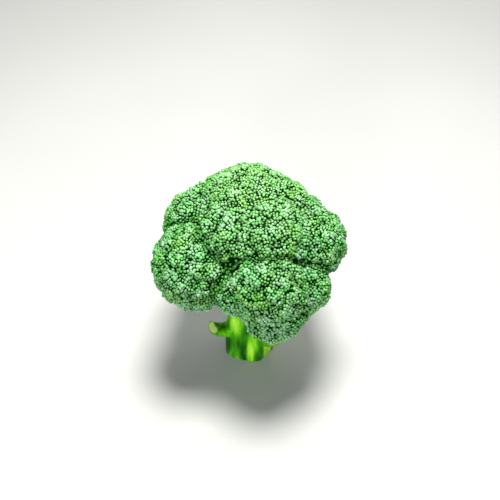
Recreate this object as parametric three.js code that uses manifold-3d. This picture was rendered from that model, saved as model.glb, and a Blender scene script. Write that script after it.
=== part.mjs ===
// A broccoli head cut from its plant, standing on the cut end of its stalk.
// The stalk forks into a branch for each floret, and each floret is a round cluster
// of smaller florets covered in flower buds.
// Millimetres, +Z up. The origin is the centre of the cut, and -Y is the front.
import * as THREE from "three";
import { ConvexGeometry } from "three/addons/geometries/ConvexGeometry.js";
import { ConvexHull } from "three/addons/math/ConvexHull.js";
import { mergeVertices } from "three/addons/utils/BufferGeometryUtils.js";
import Module from "manifold-3d";

const wasm = await Module();
wasm.setup();

const UP = new THREE.Vector3(0, 0, 1);

// Crown: the middle of the head, and where the florets' axes spread from
const CROWN_MIDDLE = new THREE.Vector3(0, 0, 97);
const SPREAD_FROM = new THREE.Vector3(0, 0, 40);

// Florets: each one's middle, measured from the crown's middle, and its radius
const FLORETS = [
  { name: "floret_top", middle: [0, 10, 35], radius: 36.5 },
  { name: "floret_top_right", middle: [24, 8, 29], radius: 31 },
  { name: "floret_mid", middle: [14, -19, 34], radius: 31 },
  { name: "floret_mid_left", middle: [-13, -16, 33], radius: 25 },
  { name: "floret_left", middle: [-36, 12, 20], radius: 29 },
  { name: "floret_right", middle: [44, -9, 22], radius: 28 },
  { name: "floret_left_front", middle: [-37, -20, 10], radius: 34.5 },
  { name: "floret_front", middle: [14, -48, 15], radius: 28 },
  { name: "floret_front_left", middle: [-9, -44, 5], radius: 17 },
  { name: "floret_front_right", middle: [40, -38, 5], radius: 20 },
  { name: "floret_front_low", middle: [18, -47, -9], radius: 24.5 },
  { name: "floret_back", middle: [4, 42, 8], radius: 31 },
  { name: "floret_back_right", middle: [36, 32, 4], radius: 27 },
  { name: "floret_back_left", middle: [-34, 38, 2], radius: 27 },
  { name: "floret_left_low", middle: [-46, 14, -12], radius: 19 },
  { name: "floret_right_low", middle: [46, 10, -16], radius: 18 },
  { name: "floret_back_low", middle: [2, 44, -22], radius: 19 },
];
const BLEND = 2.8; // how softly neighbouring florets run together at the surface
const FURTHEST_REACH = 1.6; // of a floret's radius, beyond which its surface isn't looked for
const SEARCH_STEP = 1; // steps along a line until it leaves the crown
const HALVINGS = 12; // of the last step, to find the surface
const UNDERSIDE_DEPTH = 0.85; // of the floret's radius, below its middle
const UNDERSIDE_SLOPE = Math.tan(THREE.MathUtils.degToRad(20));

// Sub-florets: low domes that cover each floret
const SUB_FLORET_PITCH = 16;
const SUB_FLORET_CURVE = 22; // radius of each dome's rounding

// Buds, drawn larger than life: real ones stand 3 mm apart
const BUD_PITCH = 6.2;
const BUD_HEIGHT = 1.7;
const HIDDEN_KEPT = 5; // one spiral point in this many stays where florets press together
const GROOVE_SHARE = 0.86; // points nearer the surface than this all stay

// Stalk
const STALK_BASE_RADIUS = 20;
const STALK_TOP_RADIUS = 11;
const STALK_TOP = 74;
const STALK_SIDES = 16;
const STALK_RIBS = 5;
const STALK_RIB_DEPTH = 0.05; // of the radius
const TUBE_STEPS = 4; // rings along the stalk, a branch or a leaf stub

// Branches: one for each floret. Shares are of its floret's radius.
const FORK_LOW = 34; // where the lowest branch leaves the stalk's axis
const FORK_HIGH = 70; // and the highest
const BRANCH_SIDES = 7;
const BRANCH_BASE_SHARE = 0.33;
const BRANCH_END_SHARE = 0.27;
const BRANCH_END_DEPTH = 0.68; // where it ends, below the floret's middle

// Branchlets: for each floret whose underside shows. Shares are of its radius.
const BRANCHLETS = 3;
const BRANCHLETS_BELOW = 12; // florets whose middle is lower than this, from the crown's middle
const BRANCHLET_SIDES = 5;
const BRANCHLET_SHARE = 0.17;
const BRANCHLET_FORK_DEPTH = 1.06; // where they leave the branch, below the floret's middle
const BRANCHLET_LENGTH = 0.75;
const BRANCHLET_SPREAD = THREE.MathUtils.degToRad(50);

// Leaf stubs: each one's direction round the stalk, height and length from the stalk's axis
const LEAF_STUBS = [
  { azimuth: 205, height: 22, length: 36 },
  { azimuth: 318, height: 15, length: 33 },
  { azimuth: 75, height: 27, length: 34 },
];
const LEAF_STUB_RADIUS = 7.5;
const LEAF_STUB_SIDES = 8;
const LEAF_STUB_FLATNESS = 0.62;
const LEAF_STUB_BEND = 0.6; // share of its length that runs level before it turns up
const LEAF_STUB_RISE = THREE.MathUtils.degToRad(48);

// Clear gap between neighbouring florets, and between the stalk and the florets
const GAP = 0.3;
const STALK_GAP = 0.48;

// Colours and roughness
const BUD_GREEN = 0x6a9f5f;
const BUD_ROUGHNESS = 0.7;
const STALK_GREEN = 0x7fae4b;
const STALK_ROUGHNESS = 0.5;

// Turns a closed geometry into a solid that can be joined and cut
function toSolid(geometry) {
  const bare = geometry.clone();
  bare.deleteAttribute("normal");
  bare.deleteAttribute("uv");
  const merged = mergeVertices(bare, 1e-3);
  const vertProperties = merged.attributes.position.array;
  const triVerts = new Uint32Array(merged.index.array);
  return new wasm.Manifold(new wasm.Mesh({ numProp: 3, vertProperties, triVerts }));
}

function toGeometry(solid) {
  const mesh = solid.getMesh();
  const geometry = new THREE.BufferGeometry();
  geometry.setAttribute("position", new THREE.BufferAttribute(mesh.vertProperties, 3));
  geometry.setIndex(new THREE.BufferAttribute(mesh.triVerts, 1));
  geometry.computeVertexNormals();
  return geometry;
}

// Evenly spread directions on a golden-angle spiral that starts at the axis
function spiral(count, axis) {
  const turn = new THREE.Quaternion().setFromUnitVectors(UP, axis);
  const goldenAngle = Math.PI * (3 - Math.sqrt(5));
  return Array.from({ length: count }, (_, i) => {
    const polar = Math.acos(1 - (2 * (i + 0.5)) / count);
    const around = i * goldenAngle;
    const flat = new THREE.Vector2(Math.cos(around), Math.sin(around)).multiplyScalar(Math.sin(polar));
    return new THREE.Vector3(flat.x, flat.y, Math.cos(polar)).applyQuaternion(turn);
  });
}

// How many points at this pitch cover a ball of this radius
function pointsOnBall(radius, pitch) {
  const cellArea = (Math.sqrt(3) / 2) * pitch ** 2;
  return Math.round((4 * Math.PI * radius ** 2) / cellArea);
}

// Gives each floret its place, its growth axis, its sub-florets and the planes to its neighbours
function placeFlorets() {
  const placed = FLORETS.map(({ name, middle, radius }) => {
    const centre = new THREE.Vector3(...middle).add(CROWN_MIDDLE);
    const axis = centre.clone().sub(SPREAD_FROM).normalize();
    const subFlorets = spiral(pointsOnBall(radius, SUB_FLORET_PITCH), axis);
    return { name, radius, centre, axis, subFlorets };
  });
  for (const floret of placed) {
    floret.planes = placed.filter((other) => other !== floret).map((other) => {
      const towards = other.centre.clone().sub(floret.centre);
      const apart = towards.length();
      const squares = apart ** 2 + floret.radius ** 2 - other.radius ** 2;
      return { normal: towards.divideScalar(apart), distance: squares / (2 * apart) - GAP / 2 };
    });
  }
  return placed;
}

// Below zero inside the crown: all the florets' balls, run softly together
function crownField(point) {
  const sum = florets.reduce(
    (total, { centre, radius }) => total + Math.exp((radius - point.distanceTo(centre)) / BLEND), 0);
  return -BLEND * Math.log(sum);
}

// How far the surface dips between a floret's sub-florets
function subFloretDip({ radius, subFlorets }, direction) {
  const cosines = subFlorets.map((towards) => direction.dot(towards));
  const fromTop = radius * Math.acos(Math.min(1, Math.max(...cosines)));
  return fromTop ** 2 / (2 * SUB_FLORET_CURVE);
}

// Distance from a floret's middle to its bud surface, where the line first leaves the crown
function outerReach(floret, direction) {
  const isOutside = (reach) =>
    crownField(floret.centre.clone().addScaledVector(direction, reach)) > 0;
  const furthest = floret.radius * FURTHEST_REACH;
  let outside = floret.radius;
  while (outside < furthest && !isOutside(outside)) outside += SEARCH_STEP;
  let inside = outside - SEARCH_STEP;
  for (let i = 0; i < HALVINGS; i++) {
    const reach = (inside + outside) / 2;
    if (isOutside(reach)) outside = reach;
    else inside = reach;
  }
  return inside - subFloretDip(floret, direction);
}

// Distance to what limits a floret inside the crown: its underside and its neighbours
function innerReach(floret, direction) {
  const cosine = direction.dot(floret.axis);
  const sine = Math.sqrt(Math.max(0, 1 - cosine ** 2));
  const drop = sine * UNDERSIDE_SLOPE - cosine;
  const limits = floret.planes
    .map(({ normal, distance }) => ({ distance, rate: direction.dot(normal) }))
    .concat({ distance: floret.radius * UNDERSIDE_DEPTH, rate: drop })
    .filter(({ rate }) => rate > 1e-6)
    .map(({ distance, rate }) => distance / rate);
  return Math.min(...limits);
}

// One floret as a closed surface round its middle. Where it is open to the air each point of
// its spiral is the tip of a bud, with valleys round it. The rest is plain.
function floretGeometry(floret) {
  const points = [];
  spiral(pointsOnBall(floret.radius, BUD_PITCH), floret.axis).forEach((direction, i) => {
    const outer = outerReach(floret, direction);
    const inner = innerReach(floret, direction);
    const isBud = inner > outer;
    if (!isBud && inner < outer * GROOVE_SHARE && i % HIDDEN_KEPT) return;
    direction.isBud = isBud;
    points.push(direction);
  });

  const positions = [];
  const place = (direction, sink) => {
    const reach = Math.min(outerReach(floret, direction) - sink, innerReach(floret, direction));
    const at = floret.centre.clone().addScaledVector(direction, reach);
    return positions.push(at.x, at.y, at.z) / 3 - 1;
  };
  const tips = new Map(points.map((direction) => [direction, place(direction, 0)]));

  const hull = new ConvexHull().setFromPoints(points);
  const corners = (face) => [0, 1, 2].map((i) => face.getEdge(i).head().point);
  const valleys = new Map();
  for (const face of hull.faces) {
    const around = corners(face);
    if (!around.some((direction) => direction.isBud)) continue;
    const middle = new THREE.Vector3();
    around.forEach((direction) => middle.add(direction));
    valleys.set(face, place(middle.normalize(), BUD_HEIGHT));
  }

  const triangles = [];
  for (const face of hull.faces) {
    if (!valleys.has(face)) {
      triangles.push(...corners(face).map((direction) => tips.get(direction)));
      continue;
    }
    for (let i = 0; i < 3; i++) {
      const edge = face.getEdge(i);
      const tail = tips.get(edge.tail().point);
      const across = valleys.get(edge.twin.face) ?? tips.get(edge.head().point);
      triangles.push(tail, across, valleys.get(face));
    }
  }
  const geometry = new THREE.BufferGeometry();
  geometry.setAttribute("position", new THREE.Float32BufferAttribute(positions, 3));
  geometry.setIndex(triangles);
  geometry.computeVertexNormals();
  return geometry;
}

// A closed tube along a curve: radiusAt gives its radius from the share of its length and the
// angle round it, and flatness squeezes it across the curve's binormal
function tube(curve, radiusAt, sides, steps, flatness = 1) {
  const geometry = new THREE.CylinderGeometry(1, 1, 1, sides, steps);
  const frames = curve.computeFrenetFrames(steps, false);
  const position = geometry.attributes.position;
  for (let i = 0; i < position.count; i++) {
    const share = position.getY(i) + 0.5;
    const step = Math.round(share * steps);
    const across = new THREE.Vector2(position.getX(i), position.getZ(i));
    const radius = across.length() * radiusAt(share, across.angle());
    across.setLength(radius);
    const at = curve.getPointAt(share)
      .addScaledVector(frames.binormals[step], across.x)
      .addScaledVector(frames.normals[step], across.y * flatness);
    position.setXYZ(i, at.x, at.y, at.z);
  }
  return geometry;
}

function stalkTube() {
  const curve = new THREE.LineCurve3(new THREE.Vector3(0, 0, 0), new THREE.Vector3(0, 0, STALK_TOP));
  const radiusAt = (share, angle) =>
    THREE.MathUtils.lerp(STALK_BASE_RADIUS, STALK_TOP_RADIUS, share ** 2) *
    (1 + STALK_RIB_DEPTH * Math.cos(STALK_RIBS * angle + share));
  return tube(curve, radiusAt, STALK_SIDES, TUBE_STEPS);
}

// A branch curves from the stalk's axis to the underside of its floret
function branchTube({ centre, axis, radius }) {
  const heights = FLORETS.map(({ middle }) => middle[2] + CROWN_MIDDLE.z);
  const rise = THREE.MathUtils.mapLinear(
    centre.z, Math.min(...heights), Math.max(...heights), FORK_LOW, FORK_HIGH);
  const start = new THREE.Vector3(0, 0, rise);
  const end = centre.clone().addScaledVector(axis, -radius * BRANCH_END_DEPTH);
  const bend = end.clone().addScaledVector(axis, -start.distanceTo(end) / 2);
  const curve = new THREE.QuadraticBezierCurve3(start, bend, end);
  const radiusAt = (share) => radius * THREE.MathUtils.lerp(BRANCH_BASE_SHARE, BRANCH_END_SHARE, share);
  return tube(curve, radiusAt, BRANCH_SIDES, TUBE_STEPS);
}

// Branchlets fan out from the top of a branch into the underside of its floret
function branchletTubes({ centre, axis, radius }) {
  const fork = centre.clone().addScaledVector(axis, -radius * BRANCHLET_FORK_DEPTH);
  const side = UP.clone().cross(axis).normalize();
  return Array.from({ length: BRANCHLETS }, (_, i) => {
    const around = (i * 2 * Math.PI) / BRANCHLETS;
    const towards = axis.clone().applyAxisAngle(side, BRANCHLET_SPREAD).applyAxisAngle(axis, around);
    const end = fork.clone().addScaledVector(towards, radius * BRANCHLET_LENGTH);
    return tube(new THREE.LineCurve3(fork, end), () => radius * BRANCHLET_SHARE, BRANCHLET_SIDES, 1);
  });
}

// What is left of a leaf stalk once its leaf is trimmed off
function leafStubTube({ azimuth, height, length }) {
  const angle = THREE.MathUtils.degToRad(azimuth);
  const outward = new THREE.Vector3(Math.cos(angle), Math.sin(angle), 0);
  const start = new THREE.Vector3(0, 0, height);
  const bend = start.clone().addScaledVector(outward, length * LEAF_STUB_BEND);
  const rest = length * (1 - LEAF_STUB_BEND);
  const end = bend.clone()
    .addScaledVector(outward, rest * Math.cos(LEAF_STUB_RISE))
    .addScaledVector(UP, rest * Math.sin(LEAF_STUB_RISE));
  const curve = new THREE.QuadraticBezierCurve3(start, bend, end);
  return tube(curve, () => LEAF_STUB_RADIUS, LEAF_STUB_SIDES, TUBE_STEPS, LEAF_STUB_FLATNESS);
}

// The room a floret takes, swollen a little, to cut the stalk clear of it
function floretRoom(floret) {
  const position = floretGeometry(floret).attributes.position;
  const points = Array.from({ length: position.count }, (_, i) => {
    const point = new THREE.Vector3().fromBufferAttribute(position, i);
    const outward = point.clone().sub(floret.centre).normalize();
    return point.addScaledVector(outward, STALK_GAP);
  });
  return new ConvexGeometry(points);
}

// The stalk, its branches and the leaf stubs grew as one piece. It is cut clear of the florets.
function stalkGeometry() {
  const open = florets.filter(({ centre }) => centre.z < CROWN_MIDDLE.z + BRANCHLETS_BELOW);
  const tubes = [
    stalkTube(),
    ...florets.map(branchTube),
    ...open.flatMap(branchletTubes),
    ...LEAF_STUBS.map(leafStubTube),
  ];
  const whole = tubes.map(toSolid).reduce((joined, next) => joined.add(next));
  const clear = florets.reduce((left, floret) => left.subtract(toSolid(floretRoom(floret))), whole);
  const [largest] = clear.decompose().sort((a, b) => b.volume() - a.volume());
  return toGeometry(largest);
}

// The whole head
const florets = placeFlorets();
const head = new THREE.Group();
head.name = "broccoli_head";

function addPiece(name, geometry, color, roughness) {
  const material = new THREE.MeshStandardMaterial({ color, roughness, metalness: 0 });
  const mesh = new THREE.Mesh(geometry, material);
  mesh.name = name;
  head.add(mesh);
}

addPiece("stalk", stalkGeometry(), STALK_GREEN, STALK_ROUGHNESS);
florets.forEach((floret) => addPiece(floret.name, floretGeometry(floret), BUD_GREEN, BUD_ROUGHNESS));

export default head;
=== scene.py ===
import math

import bmesh
import bpy
import numpy as np
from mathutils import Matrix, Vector, kdtree


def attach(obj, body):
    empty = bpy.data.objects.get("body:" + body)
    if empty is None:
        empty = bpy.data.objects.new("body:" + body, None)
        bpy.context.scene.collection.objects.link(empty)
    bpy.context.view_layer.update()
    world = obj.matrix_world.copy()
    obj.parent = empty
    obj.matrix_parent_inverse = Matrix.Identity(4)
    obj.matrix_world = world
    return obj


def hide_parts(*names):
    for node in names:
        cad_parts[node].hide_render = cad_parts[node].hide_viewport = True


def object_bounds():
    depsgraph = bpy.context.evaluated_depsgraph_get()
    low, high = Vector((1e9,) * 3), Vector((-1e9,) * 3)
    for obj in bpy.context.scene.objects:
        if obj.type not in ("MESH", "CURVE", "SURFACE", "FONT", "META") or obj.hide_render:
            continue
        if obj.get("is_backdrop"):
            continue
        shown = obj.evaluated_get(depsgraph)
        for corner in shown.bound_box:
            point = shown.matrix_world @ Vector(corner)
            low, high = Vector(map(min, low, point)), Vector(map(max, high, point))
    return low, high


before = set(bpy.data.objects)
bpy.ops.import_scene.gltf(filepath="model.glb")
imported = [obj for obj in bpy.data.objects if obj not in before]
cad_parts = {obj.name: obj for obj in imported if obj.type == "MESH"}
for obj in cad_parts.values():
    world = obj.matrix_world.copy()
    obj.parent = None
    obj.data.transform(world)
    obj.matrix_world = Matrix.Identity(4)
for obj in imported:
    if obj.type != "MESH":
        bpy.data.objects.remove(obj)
cad_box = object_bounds()
draw = np.random.default_rng(11)

# Lengths are in millimetres until a mesh is made; materials and lights are in metres
MM = 0.001
TINY = 1e-12  # keeps rounding errors out of a square root
LEAST_RATE = 1e-6  # a line that nears a plane more slowly than this never meets it

# Crown: the same florets as the solids, each with its middle from the crown's middle, its radius
# and the pitch of its buds
CROWN_MIDDLE = np.array([0.0, 0.0, 97.0])
SPREAD_FROM = np.array([0.0, 0.0, 40.0])
FLORETS = {
    "floret_top": ((0, 10, 35), 36.5, 2.25),
    "floret_top_right": ((24, 8, 29), 31, 2.25),
    "floret_mid": ((14, -19, 34), 31, 2.5),
    "floret_mid_left": ((-13, -16, 33), 25, 2.5),
    "floret_left": ((-36, 12, 20), 29, 2.4),
    "floret_right": ((44, -9, 22), 28, 2.4),
    "floret_left_front": ((-37, -20, 10), 34.5, 2.42),
    "floret_front": ((14, -48, 15), 28, 2.55),
    "floret_front_left": ((-9, -44, 5), 17, 2.45),
    "floret_front_right": ((40, -38, 5), 20, 2.45),
    "floret_front_low": ((18, -47, -9), 24.5, 2.75),
    "floret_back": ((4, 42, 8), 31, 2.5),
    "floret_back_right": ((36, 32, 4), 27, 2.5),
    "floret_back_left": ((-34, 38, 2), 27, 2.5),
    "floret_left_low": ((-46, 14, -12), 19, 2.5),
    "floret_right_low": ((46, 10, -16), 18, 2.5),
    "floret_back_low": ((2, 44, -22), 19, 2.5),
}
# Florets of one lobe run together, and a cleft of this depth stays open round each lobe
LOBES = (
    (1.8, (
        "floret_top", "floret_top_right", "floret_mid", "floret_mid_left", "floret_left", "floret_right",
    )),
    (3.2, ("floret_left_front", "floret_left_low")),
    (2.8, ("floret_front", "floret_front_left", "floret_front_right", "floret_front_low")),
    (2.5, ("floret_back", "floret_back_low")),
    (2.5, ("floret_back_right", "floret_right_low")),
    (2.5, ("floret_back_left",)),
)
CLEFT_WIDTH = 2.2
FLORET_GAP = 0.3  # left open between neighbouring florets
BLEND = 2.8  # how softly neighbouring florets run together
UNDERSIDE_DEPTH = 0.85  # of a floret's radius, below its middle
UNDERSIDE_SLOPE = math.tan(math.radians(20))
SUB_FLORET_PITCH = 16.0
SUB_FLORET_CURVE = 22.0
CLUSTER_PITCH = 7.2  # knots of a few buds on each sub-floret
CLUSTER_CURVE = 9.5
CLUSTER_JITTER = 0.2  # of their pitch
LOOSEN_ROUNDS = 6
LOOSEN_SHARE = 0.35  # of the way that crowded directions move apart in each round
BEYOND_RADIUS = 0.6  # of a floret's radius, the farthest that the crown is searched past it
FIRST_STEP = 1.0  # steps of that search, halved until they are as small as the last
LAST_STEP = 0.001

# Pit where lobes meet: its middle from the crown's middle, how wide it spreads and its depth
PIT = (-12.7, -43.4, 32.2)
PIT_WIDTH = 2.6
PIT_DEPTH = 12.0
BARE_PIT = 3.6  # no buds stand deeper in the pit than this

# Soft rises and dents of the crown: middle from the crown's middle, width and rise
SWELLS = (
    ((-30.5, 28.0, 48.0), 11.0, 4.0),
    ((47.0, 20.0, 44.0), 10.0, -4.5),
)

# Shape of one bud, in shares of its radius; the rings are given by radius and height
BUD_SIDES = 10
BUD_SEPALS = 4
BUD_TIP = -0.05
BUD_RINGS = ((0.42, -0.08), (0.77, -0.33), (0.98, -0.84), (0.90, -1.35), (0.50, -2.0))
BUD_BASE = -2.4
SEAM_DEPTH = 0.13  # where the sepals meet
SEAM_LENGTH = 1.2  # from the tip down
TIP_LENGTH = 1.5  # over which a bud's colour goes from its tip's to its foot's

# Buds on a floret
BUD_RADIUS = 0.53  # of their pitch
BUD_JITTER = 0.28  # of their pitch, sideways
BUD_SPREAD = 0.94  # of their pitch, the distance to which crowded buds are loosened
BUD_TILT = 0.17  # spread of their directions
BUD_SIZE_SPREAD = 0.14
BUD_SQUASH = 0.11  # spread of the size along each of a bud's axes
CREST_SIZE = 1.05
DIP_SHRINK = 0.15  # how much smaller buds are for each millimetre of dip
SIZE_LIMITS = (0.6, 1.35)
DOME_LEAN = 0.8  # how far buds follow the lean of the domes they stand on
SUB_FLORET_SHADE = 0.5  # share of the larger domes' dip that counts with the smaller domes'
SHADE_DIP = 1.6  # the dip, and the depth of a cleft, at which a bud is wholly in the shade
SHADE_CLEFT = 4.0
WALL_GAP = 0.6  # least distance from the planes that part the florets
UNDERSIDE_SHARE = 0.8  # of the way to the surface, where a floret's underside ends the buds
SPARE_LINES = 3  # times as many lines are tried for buds on bare spots
NEAR_WALLS = 1.3  # of the floret's radius, within which such a line meets a parting plane
CORE_FINENESS = 4  # subdivisions of the ball that a floret's body is made from
CORE_DEPTH = 3.0  # of the floret's body below the buds' tips
DEEPEST_BUDS = 10.0  # below the crown's surface, on the sides of clefts
CLEAR_PITCH = 0.9  # of the buds' pitch, round a bud that is added on a bare spot
BUD_UNEVEN = 0.32  # spread of the tips' heights
BUD_LIFT = 0.8  # how far buds on the lower sides turn upwards
LIFT_BELOW = 0.35  # the rise of the outward direction under which they do
KNOT_TINT = 0.45  # share of the tint that the buds of a knot have in common

# Flat map of a floret: a strip for its body and below it a square for each bud
MAP_STRIP = 0.2
MAP_SIDE = (0.3, 0.5, 0.2)  # where the body's map starts round the floret's axis
CORE_MAP_FILL = 1.8
BUD_MAP_FILL = 0.46
BASE_MAP_PLACE = 0.86  # the bud's underside, in a corner of its square
BASE_MAP_SIZE = 0.12


def unit(vectors):
    return vectors / np.linalg.norm(vectors, axis=-1, keepdims=True)


def turn_up_to(axis):
    """The smallest turn that takes +Z to the axis, as a matrix."""
    x, y, z = axis
    k = 1 / (1 + z)
    return np.array([[1 - x * x * k, -x * y * k, x], [-x * y * k, 1 - y * y * k, y], [-x, -y, z]])


def spiral(count, axis):
    """Evenly spread directions on a golden-angle spiral that starts at the axis."""
    i = np.arange(count)
    polar = np.arccos(1 - 2 * (i + 0.5) / count)
    around = i * math.pi * (3 - math.sqrt(5))
    points = np.stack([np.sin(polar) * np.cos(around), np.sin(polar) * np.sin(around), np.cos(polar)], 1)
    return points @ turn_up_to(axis).T


def points_on_ball(radius, pitch):
    """How many points at this pitch cover a ball of this radius."""
    return round(4 * math.pi * radius**2 / (math.sqrt(3) / 2 * pitch**2))


def spread_apart(directions, spacing):
    """Loosens a crowded set of directions so that no two stand much nearer than the spacing."""
    for _ in range(LOOSEN_ROUNDS):
        apart = np.sqrt(np.maximum(2 - 2 * directions @ directions.T, TINY))
        push = np.clip(1 - apart / spacing, 0, None)
        np.fill_diagonal(push, 0)
        move = directions * push.sum(1, keepdims=True) - push @ directions
        directions = unit(directions + LOOSEN_SHARE * move)
    return directions


class Floret:
    """A floret's place and lobe, and the tops of the domes on it."""

    def __init__(self, name, middle, radius, bud_pitch):
        self.cleft, self.lobe = next(row for row in LOBES if name in row[1])
        self.centre = np.array(middle) + CROWN_MIDDLE
        self.radius = radius
        self.bud_pitch = bud_pitch
        self.axis = unit(self.centre - SPREAD_FROM)
        self.sub_florets = spiral(points_on_ball(radius, SUB_FLORET_PITCH), self.axis)
        clusters = spiral(points_on_ball(radius, CLUSTER_PITCH), self.axis)
        clusters = unit(clusters + draw.normal(0, CLUSTER_JITTER * CLUSTER_PITCH / radius, clusters.shape))
        self.clusters = spread_apart(clusters, CLUSTER_PITCH / radius)


florets = {name: Floret(name, *row) for name, row in FLORETS.items()}
centres = np.array([f.centre for f in florets.values()])
radii = np.array([f.radius for f in florets.values()])


def crown_field(points):
    """Below zero inside the crown, and the direction straight out of it."""
    offsets = points[:, None] - centres
    apart = np.linalg.norm(offsets, axis=-1)
    weights = np.exp((radii - apart) / BLEND)
    total = weights.sum(1)
    outward = ((weights / apart)[..., None] * offsets).sum(1) / total[:, None]
    return -BLEND * np.log(total), unit(outward)


def crown_reach(floret, directions):
    """Distance from a floret's middle to where the line first leaves the crown."""
    inside = np.full(len(directions), float(floret.radius))
    step = FIRST_STEP
    while step > LAST_STEP:
        for _ in range(round(BEYOND_RADIUS * floret.radius) if step == FIRST_STEP else 1):
            within = crown_field(floret.centre + directions * (inside + step)[:, None])[0] < 0
            inside = np.where(within, inside + step, inside)
        step /= 2
    return inside


def domes(floret, tops, curve, directions):
    """Low domes round each top: how far the surface dips, and which way it leans there."""
    cosines = directions @ tops.T
    nearest = cosines.argmax(1)
    from_top = floret.radius * np.arccos(np.clip(cosines.max(1), -1, 1))
    lean = floret.radius * (directions - tops[nearest]) / curve
    return from_top**2 / (2 * curve), lean


def parting_planes(floret):
    """The planes that part a floret from its neighbours: normal, distance and the neighbour."""
    for other in florets.values():
        if other is not floret:
            apart = np.linalg.norm(other.centre - floret.centre)
            squares = apart**2 + floret.radius**2 - other.radius**2
            yield (other.centre - floret.centre) / apart, squares / (2 * apart) - FLORET_GAP / 2, other


def plane_reach(floret, directions):
    """Distance to the nearest of the planes that part a floret from its neighbours."""
    reach = np.full(len(directions), np.inf)
    for normal, distance, _ in parting_planes(floret):
        rate = directions @ normal
        met = distance / np.maximum(rate, LEAST_RATE)
        reach = np.where(rate > LEAST_RATE, np.minimum(reach, met), reach)
    return reach


def cleft_dip(floret, directions, reach):
    """How far the surface dips towards the clefts between lobes."""
    dip = np.zeros(len(directions))
    for normal, distance, other in parting_planes(floret):
        if other.lobe != floret.lobe:
            from_plane = np.maximum(distance - reach * (directions @ normal), 0)
            dip = np.maximum(dip, max(floret.cleft, other.cleft) * np.exp(-from_plane / CLEFT_WIDTH))
    return dip


def nearness(points, place, width):
    """One at a place that is given from the crown's middle, and less and less away from it."""
    return np.exp(-(np.linalg.norm(points - CROWN_MIDDLE - place, axis=1) / width) ** 2)


def swelling(points):
    """How far the soft rises and dents lift the crown."""
    return sum(rise * nearness(points, place, width) for place, width, rise in SWELLS)


def underside_reach(floret, directions):
    """Distance to the hollow cone that ends a floret below."""
    cosine = directions @ floret.axis
    rate = np.sqrt(np.maximum(0, 1 - cosine**2)) * UNDERSIDE_SLOPE - cosine
    met = floret.radius * UNDERSIDE_DEPTH / np.maximum(rate, LEAST_RATE)
    return np.where(rate > LEAST_RATE, met, np.inf)


def bud_template():
    """One bud of radius 1 with its tip near the origin: corners, faces, tip shares and flat map."""
    around = np.arange(BUD_SIDES) * 2 * math.pi / BUD_SIDES
    seam = np.clip(np.cos(BUD_SEPALS * around), 0, 1)
    corners = [(0.0, 0.0, BUD_TIP)]
    flat = [(0.0, 0.0)]
    for ring, (radius, height) in enumerate(BUD_RINGS, 1):
        share = 1 - SEAM_DEPTH * seam * max(0, 1 + height / SEAM_LENGTH)
        for angle, s in zip(around, share):
            corners.append((radius * s * math.cos(angle), radius * s * math.sin(angle), height))
            out = ring / len(BUD_RINGS)
            flat.append((out * math.cos(angle), out * math.sin(angle)))
    corners.append((0.0, 0.0, BUD_BASE))
    faces = []
    maps = []
    last = len(corners) - 1
    for i in range(BUD_SIDES):
        j = (i + 1) % BUD_SIDES
        faces.append((0, 1 + i, 1 + j))
        maps.append([flat[k] for k in faces[-1]])
        for ring in range(len(BUD_RINGS) - 1):
            a = 1 + ring * BUD_SIDES
            b = a + BUD_SIDES
            faces.append((a + i, b + i, b + j, a + j))
            maps.append([flat[k] for k in faces[-1]])
        a = 1 + (len(BUD_RINGS) - 1) * BUD_SIDES
        faces.append((a + i, last, a + j))
        middle = np.array([BASE_MAP_PLACE, -BASE_MAP_PLACE])
        small = [middle + BASE_MAP_SIZE * np.array(flat[a + k]) for k in (i, j)]
        maps.append([small[0], middle, small[1]])
    corners = np.array(corners)
    tip_share = np.clip((corners[:, 2] + TIP_LENGTH) / TIP_LENGTH, 0, 1)
    return corners, faces, tip_share, maps


def bud_places(floret, directions):
    """Tips and outward directions of the buds along these lines, and how far domes and clefts dip there."""
    bare = crown_reach(floret, directions)
    dip, lean = domes(floret, floret.sub_florets, SUB_FLORET_CURVE, directions)
    small_dip, small_lean = domes(floret, floret.clusters, CLUSTER_CURVE, directions)
    surface = floret.centre + directions * bare[:, None]
    pit = PIT_DEPTH * nearness(surface, PIT, PIT_WIDTH)
    cleft = cleft_dip(floret, directions, bare) + pit
    outer = bare + swelling(surface) - dip - small_dip - cleft + draw.normal(0, BUD_UNEVEN, len(bare))
    walls = plane_reach(floret, directions) - WALL_GAP - draw.random(len(bare))
    under = underside_reach(floret, directions)
    reach = np.minimum(outer, np.minimum(under, walls))
    buried = -crown_field(floret.centre + directions * np.minimum(reach, bare)[:, None])[0]
    keep = (buried < DEEPEST_BUDS) & (under > UNDERSIDE_SHARE * outer) & (pit < BARE_PIT)
    tips = floret.centre + directions * reach[:, None]
    outward = crown_field(surface)[1] + DOME_LEAN * lean + DOME_LEAN * small_lean
    outward[:, 2] += BUD_LIFT * np.clip(LIFT_BELOW - outward[:, 2], 0, None)
    outward = unit(outward)
    return tips[keep], outward[keep], (small_dip + SUB_FLORET_SHADE * dip)[keep], cleft[keep]


def bare_spots(tips, others, clearance):
    """Which of the other tips stand clear of all the tips and of each other."""
    tree = kdtree.KDTree(len(tips))
    for i, tip in enumerate(tips):
        tree.insert(tip, i)
    tree.balance()
    chosen = []
    for i, other in enumerate(others):
        if tree.find(other)[2] > clearance:
            if all(np.linalg.norm(other - others[k]) > clearance for k in chosen):
                chosen.append(i)
    return chosen


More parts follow.
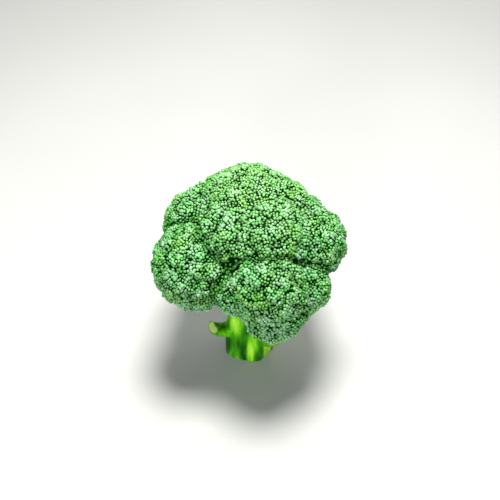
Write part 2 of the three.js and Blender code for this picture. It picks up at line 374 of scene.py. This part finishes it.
def place_buds(floret):
    """Where the buds of a floret stand: tips, outward directions, radii and the look of each."""
    spacing = floret.bud_pitch / floret.radius
    count = points_on_ball(floret.radius, floret.bud_pitch)
    directions = spiral(count, floret.axis)
    directions = unit(directions + draw.normal(0, BUD_JITTER * spacing, directions.shape))
    directions = spread_apart(directions, BUD_SPREAD * spacing)
    places = bud_places(floret, directions)

    # Lines are sparse on the steep sides of clefts, so more buds go where there is room
    directions = spiral(SPARE_LINES * count, floret.axis)
    directions = directions[plane_reach(floret, directions) < NEAR_WALLS * floret.radius]
    more = bud_places(floret, directions)
    chosen = bare_spots(places[0], more[0], CLEAR_PITCH * floret.bud_pitch)
    tips, outward, dip, cleft = [np.concatenate([a, b[chosen]]) for a, b in zip(places, more)]

    count = len(tips)
    outward = unit(outward + draw.normal(0, BUD_TILT, outward.shape))
    sizes = (1 + draw.normal(0, BUD_SIZE_SPREAD, count)) * (CREST_SIZE - DIP_SHRINK * dip)
    sizes = np.clip(sizes, *SIZE_LIMITS)
    sizes *= BUD_RADIUS * floret.bud_pitch
    knot = (unit(tips - floret.centre) @ floret.clusters.T).argmax(1)
    tint = KNOT_TINT * draw.random(len(floret.clusters))[knot] + (1 - KNOT_TINT) * draw.random(count)
    # How far each bud stands clear of dips and clefts, which sets the shade that the material paints on it
    crest = np.clip(1 - dip / SHADE_DIP - cleft / SHADE_CLEFT, 0, 1)
    return tips, outward, sizes, tint, crest


def core_ball():
    """A fine ball of triangles that each floret's body is shaped from."""
    ball = bmesh.new()
    bmesh.ops.create_icosphere(ball, subdivisions=CORE_FINENESS, radius=1)
    corners = np.array([v.co[:] for v in ball.verts])
    faces = [[v.index for v in f.verts] for f in ball.faces]
    ball.free()
    return unit(corners), np.array(faces)


def floret_core(floret, ball):
    """The corners of a floret's body, which stays below the tips of its buds and is coloured dark as
    painted shade between them.
    """
    dip, _ = domes(floret, floret.sub_florets, SUB_FLORET_CURVE, ball)
    small_dip, _ = domes(floret, floret.clusters, CLUSTER_CURVE, ball)
    bare = crown_reach(floret, ball)
    surface = floret.centre + ball * bare[:, None]
    reach = bare + swelling(surface) - PIT_DEPTH * nearness(surface, PIT, PIT_WIDTH)
    reach -= dip + small_dip + cleft_dip(floret, ball, bare) + CORE_DEPTH
    reach = np.minimum(reach, np.minimum(plane_reach(floret, ball), underside_reach(floret, ball)))
    return floret.centre + ball * reach[:, None]


def bud_corners(tips, outward, sizes, corners):
    """The corners of all buds, each turned at random about its own axis and a little squashed."""
    side = unit(np.cross(outward, draw.normal(size=outward.shape)))
    other = np.cross(outward, side)
    axes = np.stack([side, other, outward], 1) * sizes[:, None, None]
    axes *= (1 + draw.normal(0, BUD_SQUASH, (len(tips), 3)))[..., None]
    return tips[:, None] + corners @ axes


def core_flat_map(floret, ball, ball_faces):
    """The body's two halves side by side in the strip at the top of the flat map."""
    polar = np.arccos(np.clip(ball @ floret.axis, -1, 1)) / math.pi
    sideways = unit(np.cross(floret.axis, MAP_SIDE))
    around = np.arctan2(ball @ np.cross(floret.axis, sideways), ball @ sideways)
    lower = polar[ball_faces].mean(1) > 0.5
    out = np.where(lower[:, None], 1 - polar[ball_faces], polar[ball_faces]) * CORE_MAP_FILL
    angle = around[ball_faces]
    halves = np.stack([out * np.cos(angle), out * np.sin(angle)], -1) * MAP_STRIP / 2
    middles = np.stack([np.where(lower, 0.75, 0.25), np.full(len(lower), 1 - MAP_STRIP / 2)], -1)
    return halves + middles[:, None]


def bud_flat_map(count, maps):
    """A square for each bud, in rows below the strip."""
    columns = math.ceil(math.sqrt(count / (1 - MAP_STRIP)))
    rows = math.ceil(count / columns)
    cell = np.array([1 / columns, (1 - MAP_STRIP) / rows])
    corner_maps = np.array([uv for face in maps for uv in face])
    places = np.stack([np.arange(count) % columns, np.arange(count) // columns], 1) + 0.5
    return (places[:, None] + BUD_MAP_FILL * corner_maps) * cell


def floret_mesh(name, floret):
    """A floret's body and all its buds as one mesh, with a look for each bud and a flat map."""
    ball, ball_faces = core_ball()
    core = floret_core(floret, ball)
    corners, faces, tip_share, maps = bud_template()
    tips, outward, sizes, tint, crest = place_buds(floret)
    count = len(tips)
    buds = bud_corners(tips, outward, sizes, corners)

    # Corners of the body's faces come first, then those of the buds' faces
    starts = len(core) + np.arange(count) * len(corners)
    template = np.array([k for face in faces for k in face])
    loops = np.concatenate([ball_faces.ravel(), (starts[:, None] + template).ravel()])
    sides = np.array([3] * len(ball_faces) + [len(face) for face in faces] * count)
    loop_starts = np.concatenate([[0], np.cumsum(sides)[:-1]])
    core_map = core_flat_map(floret, ball, ball_faces).reshape(-1, 2)
    flat_map = np.concatenate([core_map, bud_flat_map(count, maps).reshape(-1, 2)])

    # Look of each corner: share of the tip, tint and crest, all zero on the body, which gives it the
    # darkest painted shade
    look = np.zeros((len(core) + count * len(corners), 3))
    look[len(core):, 0] = np.tile(tip_share, count)
    look[len(core):, 1] = np.repeat(tint, len(corners))
    look[len(core):, 2] = np.repeat(crest, len(corners))

    mesh = bpy.data.meshes.new(name)
    points = np.concatenate([core, buds.reshape(-1, 3)]) * MM
    mesh.vertices.add(len(points))
    mesh.vertices.foreach_set("co", points.ravel())
    mesh.loops.add(len(loops))
    mesh.loops.foreach_set("vertex_index", loops.astype(np.int32))
    mesh.polygons.add(len(sides))
    mesh.polygons.foreach_set("loop_start", loop_starts.astype(np.int32))
    mesh.update(calc_edges=True)
    mesh.validate()
    mesh.attributes.new("bud", "FLOAT_VECTOR", "POINT").data.foreach_set("vector", look.ravel())
    mesh.uv_layers.new(name="OFBake").uv.foreach_set("vector", flat_map.ravel())
    mesh.shade_smooth()
    return mesh


def add_object(name, mesh, material):
    piece = bpy.data.objects.new(name, mesh)
    bpy.context.scene.collection.objects.link(piece)
    piece.data.materials.append(material)
    return piece


class Nodes:
    """A short way to write a material's node tree."""

    def __init__(self, name):
        self.material = bpy.data.materials.new(name)
        self.material.use_nodes = True
        self.tree = self.material.node_tree
        self.shader = self.tree.nodes["Principled BSDF"]

    def add(self, kind, inputs=(), **settings):
        node = self.tree.nodes.new(kind)
        for key, value in settings.items():
            setattr(node, key, value)
        for key, value in dict(inputs).items():
            if isinstance(value, bpy.types.NodeSocket):
                self.tree.links.new(value, node.inputs[key])
            else:
                node.inputs[key].default_value = value
        return node

    def ramp(self, factor, stops):
        node = self.add("ShaderNodeValToRGB", {"Fac": factor})
        elements = node.color_ramp.elements
        while len(elements) < len(stops):
            elements.new(0.5)
        for element, (position, color) in zip(elements, stops):
            element.position = position
            element.color = (*color, 1)
        return node.outputs["Color"]

    def mix(self, factor, a, b, blend="MIX"):
        node = self.add("ShaderNodeMix", data_type="RGBA", blend_type=blend)
        for socket, value in zip((node.inputs[0], node.inputs[6], node.inputs[7]), (factor, a, b)):
            if isinstance(value, bpy.types.NodeSocket):
                self.tree.links.new(value, socket)
            elif isinstance(value, (int, float)):
                socket.default_value = value
            else:
                socket.default_value = (*value, 1)
        return node.outputs[2]

    def shade(self, color, by):
        return self.mix(1.0, color, by, "MULTIPLY")

    def times(self, a, b):
        return self.add("ShaderNodeMath", {0: a, 1: b}, operation="MULTIPLY").outputs[0]

    def link(self, socket, key):
        self.tree.links.new(socket, self.shader.inputs[key])

    def map_range(self, value, low, high, to_low, to_high):
        settings = {"Value": value, "From Min": low, "From Max": high, "To Min": to_low, "To Max": to_high}
        return self.add("ShaderNodeMapRange", settings).outputs["Result"]

    def noise(self, place, scale, detail=2.0, roughness=0.5):
        settings = {"Vector": place, "Scale": scale, "Detail": detail, "Roughness": roughness}
        return self.add("ShaderNodeTexNoise", settings).outputs["Fac"]

    def bump(self, height, strength, distance):
        node = self.add("ShaderNodeBump", {"Height": height, "Strength": strength, "Distance": distance})
        self.link(node.outputs["Normal"], "Normal")


def bud_material():
    """Green buds in patches of blue and yellow green, pale with wax at the tip, with painted shade between
    them and low on the crown, a painted highlight at the tip and painted light towards the top.
    """
    n = Nodes("buds")
    place = n.add("ShaderNodeTexCoord").outputs["Object"]
    bud = n.add("ShaderNodeAttribute", attribute_name="bud").outputs["Vector"]
    look = n.add("ShaderNodeSeparateXYZ", {"Vector": bud}).outputs
    tip, tint, crest = look["X"], look["Y"], look["Z"]
    height = n.add("ShaderNodeSeparateXYZ", {"Vector": place}).outputs["Z"]

    # Dark at the foot of each bud, painted shade down between the buds, and pale at its tip, partly the
    # tip's waxy colour and partly a painted highlight
    green = n.ramp(tip, [
        (0.0, (0.0004, 0.060, 0.0001)),
        (0.38, (0.004, 0.175, 0.001)),
        (0.74, (0.058, 0.280, 0.040)),
        (1.0, (0.210, 0.400, 0.19)),
    ])

    # Patches of yellow green and blue green, then each bud lighter or darker
    cast = n.ramp(n.noise(place, 62.0, 3.0, 0.55), [
        (0.34, (1.04, 1.02, 0.66)),
        (0.46, (0.98, 1.0, 0.86)),
        (0.56, (0.92, 1.0, 1.02)),
        (0.68, (1.02, 1.02, 1.30)),
    ])
    green = n.shade(green, cast)
    each = n.ramp(tint, [
        (0.0, (0.42, 0.52, 0.36)),
        (0.5, (0.92, 0.98, 0.90)),
        (1.0, (1.45, 1.32, 1.50)),
    ])
    green = n.shade(green, each)

    # Painted shade: darker down between knots and in clefts. Painted light: paler towards the top of the
    # crown
    between = n.ramp(crest, [
        (0.1, (0.50, 0.62, 0.44)),
        (0.5, (0.95, 0.97, 0.94)),
        (0.9, (1.08, 1.05, 1.08)),
    ])
    green = n.shade(green, between)
    # Painted light: buds paler the higher they stand on the crown
    painted_top_light = n.ramp(n.map_range(height, 0.09, 0.165, 0.0, 1.0), [
        (0.0, (0.92, 0.96, 0.94)),
        (0.55, (1.0, 1.0, 1.0)),
        (1.0, (1.22, 1.11, 1.18)),
    ])
    green = n.shade(green, painted_top_light)
    # Painted light near the very top: tips most and feet a little are drawn towards one yellow green
    high = n.map_range(height, 0.135, 0.165, 0.0, 0.34)
    high_share = n.times(high, n.map_range(tip, 0.0, 0.45, 0.15, 1.0))
    green = n.mix(high_share, green, (0.20, 0.42, 0.13))

    # Painted shade: darker gaps between the buds low on the crown
    painted_gap_shade = n.ramp(tip, [(0.5, (0.16, 0.26, 0.14)), (0.95, (1.05, 0.98, 1.15))])
    underneath = n.map_range(height, 0.072, 0.098, 1.0, 0.0)
    green = n.mix(underneath, green, n.shade(green, painted_gap_shade))

    # Patches of wax on the tips, weaker on the buds that stand low in knots and clefts, where shade is
    # painted
    wax_patch = n.map_range(n.noise(place, 105.0, 3.0, 0.6), 0.44, 0.66, 0.0, 0.6)
    green = n.mix(n.times(n.times(tip, crest), wax_patch), green, (0.46, 0.66, 0.49))
    n.link(green, "Base Color")
    n.link(n.map_range(n.noise(place, 600.0, 2.0), 0.3, 0.7, 0.42, 0.62), "Roughness")
    n.link(n.map_range(tip, 0.5, 1.0, 0.0, 0.35), "Specular IOR Level")
    n.bump(n.noise(place, 1500.0, 2.0), 0.25, 0.0002)
    return n.material


# Stalk: the same route as the solids, with rounded joins and finer stems
STALK_BASE_RADIUS = 20.0
STALK_TOP_RADIUS = 11.0
STALK_TOP = 74.0
STALK_FOOT = -5.0  # spare length, for a clean cut
STALK_STEPS = 40
STALK_SIDES = 72
STALK_RIBS = 5
STALK_RIB_DEPTH = 0.05
FORK_LOW = 34.0
FORK_HIGH = 70.0
FINE_RIBS = 17
FINE_RIB_DEPTH = 0.012
FINE_RIB_WIND = 9.0  # height in which they wind by a radian
TUBE_SIDE = np.array([0.31, 0.87, 0.11])  # where the rings of branches start
BRANCH_STEPS = 14
BRANCH_SIDES = 24
BRANCH_END = 0.68  # of the floret's radius, short of its middle
BRANCH_RADIUS = (0.33, 0.27)  # of the floret's radius, at the fork and at the end
BRANCHLET_FORK = 1.06  # of the floret's radius, short of its middle
# Rows of branchlets: count, tilt in degrees, and radius and length as shares of the floret's radius
BRANCHLETS = ((3, 50, 0.16, 0.9), (5, 55, 0.10, 0.97), (5, 30, 0.10, 0.7))
BRANCHLET_TURN = 0.37  # steps round the branch for each degree of tilt
BRANCHLET_BEND = (0.35, 0.2)  # of its length, its own way and along the floret's axis
BRANCHLET_TAPER = (1.1, 0.85)
BRANCHLET_STEPS = 8
BRANCHLET_SIDES = 14
HIGHEST_BRANCHLETS = CROWN_MIDDLE[2] + 12  # those of higher florets are out of sight
# Trimmed leaf stalks: azimuth in degrees, height on the stalk and length from its middle
LEAF_STUBS = ((205, 22, 36), (318, 15, 33), (75, 27, 34))
LEAF_STUB_RISE = math.radians(48)
LEAF_STUB_RADIUS = (8.5, 6.6)
LEAF_STUB_FLATNESS = 0.62
LEAF_STUB_BEND = 0.6  # of its length
LEAF_STUB_GROOVE = 0.4  # of its radius
LEAF_STUB_GROOVE_POWER = 6  # higher is narrower
LEAF_STUB_SPARE = 3.0  # spare length, for a clean cut
LEAF_STUB_STEPS = 14
LEAF_STUB_SIDES = 32
STALK_VOXEL = 0.95  # size of the grid on which the tubes are joined
SOFTEN_SHARE = 0.5
SOFTEN_ROUNDS = 4
BASE_CUT_REACH = 50.0  # how far from its middle each cut works
STUB_CUT_REACH = 12.0
CUT_RIM = 0.9  # width of the skin that shows round a cut
CUT_RIM_SHARE = 0.3  # of the flesh's colour there


def tube(path, radius, sides, side, flatness=1.0, ribs=None):
    """A closed tube along a path of points, as corners and faces; its rings start at the given side."""
    along = unit(np.gradient(path, axis=0))
    corners = []
    around = np.arange(sides) * 2 * math.pi / sides
    for point, heading, ring in zip(path, along, radius):
        side = unit(side - heading * (side @ heading))
        up = np.cross(heading, side)
        if ribs:
            ring = ring * ribs(around, point[2])
        wide = np.outer(ring * np.cos(around), side)
        high = np.outer(ring * np.sin(around) * flatness, up)
        corners.append(point + wide + high)
    faces = [
        (a * sides + i, a * sides + (i + 1) % sides, (a + 1) * sides + (i + 1) % sides, (a + 1) * sides + i)
        for a in range(len(path) - 1)
        for i in range(sides)
    ]
    faces.append(tuple(range(sides))[::-1])
    faces.append(tuple(range((len(path) - 1) * sides, len(path) * sides)))
    return np.concatenate(corners), faces


def bend_path(start, bend, end, steps):
    """Points along a smooth bend from start to end."""
    t = np.linspace(0, 1, steps)[:, None]
    return (1 - t) ** 2 * start + 2 * t * (1 - t) * bend + t**2 * end


def stalk_ribs(around, height):
    """Shares of the stalk's radius: broad ribs that wind a little, and fine ones on them."""
    broad = STALK_RIB_DEPTH * np.cos(STALK_RIBS * around + height / STALK_TOP)
    return 1 + broad + FINE_RIB_DEPTH * np.cos(FINE_RIBS * around + height / FINE_RIB_WIND)


def main_stalk_tube():
    heights = np.linspace(STALK_FOOT, STALK_TOP, STALK_STEPS)
    share = np.clip(heights / STALK_TOP, 0, 1)
    radius = STALK_BASE_RADIUS + (STALK_TOP_RADIUS - STALK_BASE_RADIUS) * share**2
    path = np.stack([0 * heights, 0 * heights, heights], 1)
    return tube(path, radius, STALK_SIDES, np.array([1.0, 0, 0]), ribs=stalk_ribs)


def branch_tube(floret):
    """The branch from the stalk's fork to a floret."""
    lowest, highest = centres[:, 2].min(), centres[:, 2].max()
    rise = FORK_LOW + (floret.centre[2] - lowest) / (highest - lowest) * (FORK_HIGH - FORK_LOW)
    start = np.array([0, 0, rise])
    end = floret.centre - floret.axis * floret.radius * BRANCH_END
    bend = end - floret.axis * np.linalg.norm(end - start) / 2
    widths = floret.radius * np.linspace(*BRANCH_RADIUS, BRANCH_STEPS)
    return tube(bend_path(start, bend, end, BRANCH_STEPS), widths, BRANCH_SIDES, TUBE_SIDE)


def branchlet_tubes(floret):
    """The thin stems that fan out of a branch under its floret's buds."""
    fork = floret.centre - floret.axis * floret.radius * BRANCHLET_FORK
    turn = turn_up_to(floret.axis)
    own_way, along_axis = BRANCHLET_BEND
    for count, tilt, thick, length in BRANCHLETS:
        lean = math.radians(tilt)
        for i in range(count):
            angle = 2 * math.pi * (i + BRANCHLET_TURN * tilt) / count
            sideways = np.array([math.cos(angle), math.sin(angle), 0]) * math.sin(lean)
            towards = turn @ (sideways + np.array([0, 0, math.cos(lean)]))
            tip = fork + towards * floret.radius * length
            bend = fork + (towards * own_way + floret.axis * along_axis) * floret.radius * length
            widths = floret.radius * thick * np.linspace(*BRANCHLET_TAPER, BRANCHLET_STEPS)
            yield tube(bend_path(fork, bend, tip, BRANCHLET_STEPS), widths, BRANCHLET_SIDES, TUBE_SIDE)


def leaf_stub_path(azimuth, height, length):
    """The route of a leaf stalk, out of the stalk and then up, and the heading of its end."""
    outward = np.array([math.cos(math.radians(azimuth)), math.sin(math.radians(azimuth)), 0])
    start = np.array([0, 0, height])
    bend = start + outward * length * LEAF_STUB_BEND
    heading = outward * math.cos(LEAF_STUB_RISE) + np.array([0, 0, math.sin(LEAF_STUB_RISE)])
    end = bend + heading * length * (1 - LEAF_STUB_BEND)
    return bend_path(start, bend, end, LEAF_STUB_STEPS), heading


def leaf_stub_groove(around, height):
    """Shares of a leaf stalk's radius: a groove runs along its upper side."""
    return 1 - LEAF_STUB_GROOVE * np.maximum(-np.sin(around), 0) ** LEAF_STUB_GROOVE_POWER


def leaf_stub_tube(stub):
    """A flat leaf stalk, a little longer than it stays, for a clean cut."""
    path, heading = leaf_stub_path(*stub)
    path = np.concatenate([path, [path[-1] + heading * LEAF_STUB_SPARE]])
    widths = np.linspace(*LEAF_STUB_RADIUS, len(path))
    level = np.cross(heading, (0, 0, 1))
    return tube(path, widths, LEAF_STUB_SIDES, level, LEAF_STUB_FLATNESS, leaf_stub_groove)


def stalk_tubes():
    yield main_stalk_tube()
    for floret in florets.values():
        yield branch_tube(floret)
        if floret.centre[2] < HIGHEST_BRANCHLETS:
            yield from branchlet_tubes(floret)
    for stub in LEAF_STUBS:
        yield leaf_stub_tube(stub)


def cut_off(work, place, normal, within, cut_layer):
    """Cuts the mesh along a plane, near a place on it, and closes the cut with marked faces."""
    place = Vector(place)
    near = [f for f in work.faces if (f.calc_center_median() - place).length < within]
    parts = {part for face in near for part in (face, *face.edges, *face.verts)}
    cut = bmesh.ops.bisect_plane(
        work, geom=list(parts), plane_co=place, plane_no=Vector(normal), clear_outer=True)
    rim = [part for part in cut["geom_cut"] if isinstance(part, bmesh.types.BMEdge)]
    for face in bmesh.ops.holes_fill(work, edges=rim, sides=0)["faces"]:
        face[cut_layer] = 1.0
        for skin in bmesh.ops.inset_region(work, faces=[face], thickness=CUT_RIM * MM)["faces"]:
            skin[cut_layer] = CUT_RIM_SHARE


def joined_tubes():
    """All tubes of the stalk as one skin with soft joins."""
    corners, faces = [], []
    first = 0
    for points, polygons in stalk_tubes():
        corners.append(points)
        faces += [tuple(first + k for k in polygon) for polygon in polygons]
        first += len(points)
    rough = bpy.data.meshes.new("stalk_tubes")
    rough.from_pydata((np.concatenate(corners) * MM).tolist(), [], faces)
    holder = bpy.data.objects.new("stalk_tubes", rough)
    bpy.context.scene.collection.objects.link(holder)
    remesh = holder.modifiers.new("join", "REMESH")
    remesh.mode = "VOXEL"
    remesh.voxel_size = STALK_VOXEL * MM
    smooth = holder.modifiers.new("soften", "SMOOTH")
    smooth.factor = SOFTEN_SHARE
    smooth.iterations = SOFTEN_ROUNDS
    graph = bpy.context.evaluated_depsgraph_get()
    mesh = bpy.data.meshes.new_from_object(holder.evaluated_get(graph))
    bpy.data.objects.remove(holder)
    bpy.data.meshes.remove(rough)
    mesh.name = "stalk_body"
    return mesh


def stalk_mesh():
    """The stalk with its flat cut and with clean cuts at the ends of the leaf stalks."""
    mesh = joined_tubes()
    work = bmesh.new()
    work.from_mesh(mesh)
    cut_layer = work.faces.layers.float.new("cut")
    cut_off(work, (0, 0, 0), (0, 0, -1), BASE_CUT_REACH * MM, cut_layer)
    for stub in LEAF_STUBS:
        path, heading = leaf_stub_path(*stub)
        cut_off(work, path[-1] * MM, heading, STUB_CUT_REACH * MM, cut_layer)
    bmesh.ops.recalc_face_normals(work, faces=work.faces[:])
    for face in work.faces:
        face.smooth = face[cut_layer] == 0
    work.to_mesh(mesh)
    work.free()
    return mesh


def stalk_material():
    """Fresh green skin in broad and fine lengthways streaks, with a waxy bloom and pale cuts."""
    n = Nodes("stalk")
    place = n.add("ShaderNodeTexCoord").outputs["Object"]
    xyz = n.add("ShaderNodeSeparateXYZ", {"Vector": place}).outputs

    # Lengthways streaks, then wax in patches and a darker green higher up
    long_way = n.add("ShaderNodeMapping", {"Vector": place, "Scale": (1.0, 1.0, 0.22)}).outputs["Vector"]
    bands = n.noise(long_way, 85.0, 3.0, 0.5)
    green = n.ramp(bands, [
        (0.37, (0.005, 0.080, 0.0001)),
        (0.46, (0.034, 0.260, 0.0003)),
        (0.55, (0.170, 0.600, 0.005)),
        (0.65, (0.520, 0.900, 0.070)),
    ])
    streaks = n.noise(long_way, 600.0, 3.0, 0.6)
    fine = n.ramp(streaks, [(0.3, (0.86, 0.88, 0.80)), (0.7, (1.15, 1.12, 1.20))])
    green = n.shade(green, fine)
    bloom = n.map_range(n.noise(place, 55.0, 4.0, 0.6), 0.56, 0.80, 0.0, 0.40)
    green = n.mix(bloom, green, (0.17, 0.40, 0.10))
    high = n.map_range(xyz["Z"], 0.03, 0.075, 0.0, 0.55)
    green = n.mix(high, green, (0.060, 0.250, 0.008))

    # Pale flesh where it is cut, with a ring under the skin at the stalk's base
    flesh = n.ramp(n.noise(place, 520.0, 3.0), [(0.35, (0.42, 0.64, 0.12)), (0.70, (0.60, 0.78, 0.22))])
    level = n.add("ShaderNodeCombineXYZ", {"X": xyz["X"], "Y": xyz["Y"]}).outputs[0]
    across = n.add("ShaderNodeVectorMath", {0: level}, operation="LENGTH").outputs["Value"]
    ring = n.ramp(n.map_range(across, 0.012, 0.0195, 0.0, 1.0), [
        (0.0, (1.0, 1.0, 1.0)),
        (0.25, (0.80, 0.90, 0.62)),
        (0.45, (0.95, 1.0, 0.80)),
        (1.0, (0.45, 0.66, 0.26)),
    ])
    at_base = n.add("ShaderNodeMath", {0: xyz["Z"], 1: 0.0002}, operation="LESS_THAN").outputs[0]
    flesh = n.mix(at_base, flesh, n.shade(flesh, ring))
    is_cut = n.add("ShaderNodeAttribute", attribute_name="cut").outputs["Fac"]
    n.link(n.mix(is_cut, green, flesh), "Base Color")
    n.link(n.map_range(streaks, 0.3, 0.7, 0.40, 0.52), "Roughness")
    n.shader.inputs["Specular IOR Level"].default_value = 0.16
    n.bump(streaks, 0.2, 0.0004)
    return n.material


# Camera and studio
CAMERA_ELEVATION = math.radians(42)
CAMERA_DISTANCE = 650.0
CAMERA_SENSOR = 36
CAMERA_LENS = 62.4
AIM_UP = 4.5  # from the crown's middle, as the picture shows it
AIM_RIGHT = 0.75
FLOOR_HALF = 4
STUDIO_COLOR = (0.95, 0.98, 1.0, 1)
STUDIO_STRENGTH = 0.17
LIGHTS_AIM = (0, 0, 0.1)
# Lamps: place, size, power and colour
LIGHTS = {
    "key": ((0.05, 0.05, 1.1), 0.4, 23, (1.0, 0.99, 0.96)),
    "fill": ((-0.25, -1.1, 0.45), 0.3, 10, (0.97, 0.99, 1.0)),
    "back": ((0.1, 0.7, 0.9), 0.5, 4, (1.0, 1.0, 0.97)),
}


def add_camera():
    """Looks down at the crown from in front, as the photograph does."""
    data = bpy.data.cameras.new("camera")
    camera = bpy.data.objects.new("camera", data)
    bpy.context.scene.collection.objects.link(camera)
    back = Vector((0, -math.cos(CAMERA_ELEVATION), math.sin(CAMERA_ELEVATION)))
    up = Vector((0, math.sin(CAMERA_ELEVATION), math.cos(CAMERA_ELEVATION)))
    aim = Vector(CROWN_MIDDLE * MM) + up * AIM_UP * MM + Vector((AIM_RIGHT * MM, 0, 0))
    camera.location = aim + back * CAMERA_DISTANCE * MM
    camera.rotation_euler = (aim - camera.location).to_track_quat("-Z", "Y").to_euler()
    data.sensor_width = CAMERA_SENSOR
    data.lens = CAMERA_LENS
    bpy.context.scene.camera = camera


def add_light(name, place, size, power, color):
    data = bpy.data.lights.new(name, "AREA")
    data.shape = "DISK"
    data.size = size
    data.energy = power
    data.color = color
    light = bpy.data.objects.new(name, data)
    light.location = place
    light.rotation_euler = (Vector(LIGHTS_AIM) - Vector(place)).to_track_quat("-Z", "Y").to_euler()
    bpy.context.scene.collection.objects.link(light)


def add_floor():
    mesh = bpy.data.meshes.new("floor")
    corners = [(FLOOR_HALF * x, FLOOR_HALF * y, 0) for x, y in ((-1, -1), (1, -1), (1, 1), (-1, 1))]
    mesh.from_pydata(corners, [], [(0, 1, 2, 3)])
    n = Nodes("floor")
    place = n.add("ShaderNodeTexCoord").outputs["Object"]
    pale = n.ramp(n.noise(place, 3.0), [(0.3, (0.43, 0.43, 0.42)), (0.7, (0.46, 0.46, 0.45))])
    n.link(pale, "Base Color")
    n.shader.inputs["Roughness"].default_value = 0.8
    add_object("floor", mesh, n.material)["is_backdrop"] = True


def add_studio():
    """Soft light from all round and three lamps, with colours shown as they are."""
    world = bpy.data.worlds.new("studio")
    world.use_nodes = True
    background = world.node_tree.nodes["Background"]
    background.inputs["Color"].default_value = STUDIO_COLOR
    background.inputs["Strength"].default_value = STUDIO_STRENGTH
    bpy.context.scene.world = world
    bpy.context.scene.view_settings.view_transform = "Standard"
    for name, row in LIGHTS.items():
        add_light(name, *row)


def main():
    add_camera()
    add_floor()
    add_studio()
    buds = bud_material()
    for name, floret in florets.items():
        piece = add_object(name + "_buds", floret_mesh(name + "_buds", floret), buds)
        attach(piece, "root")
        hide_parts(name)
    stalk = add_object("stalk_body", stalk_mesh(), stalk_material())
    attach(stalk, "root")
    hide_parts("stalk")
    boxes = {"cad": cad_box, "visual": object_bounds()}
    plain = {name: [[float(v) for v in corner] for corner in box] for name, box in boxes.items()}


main()
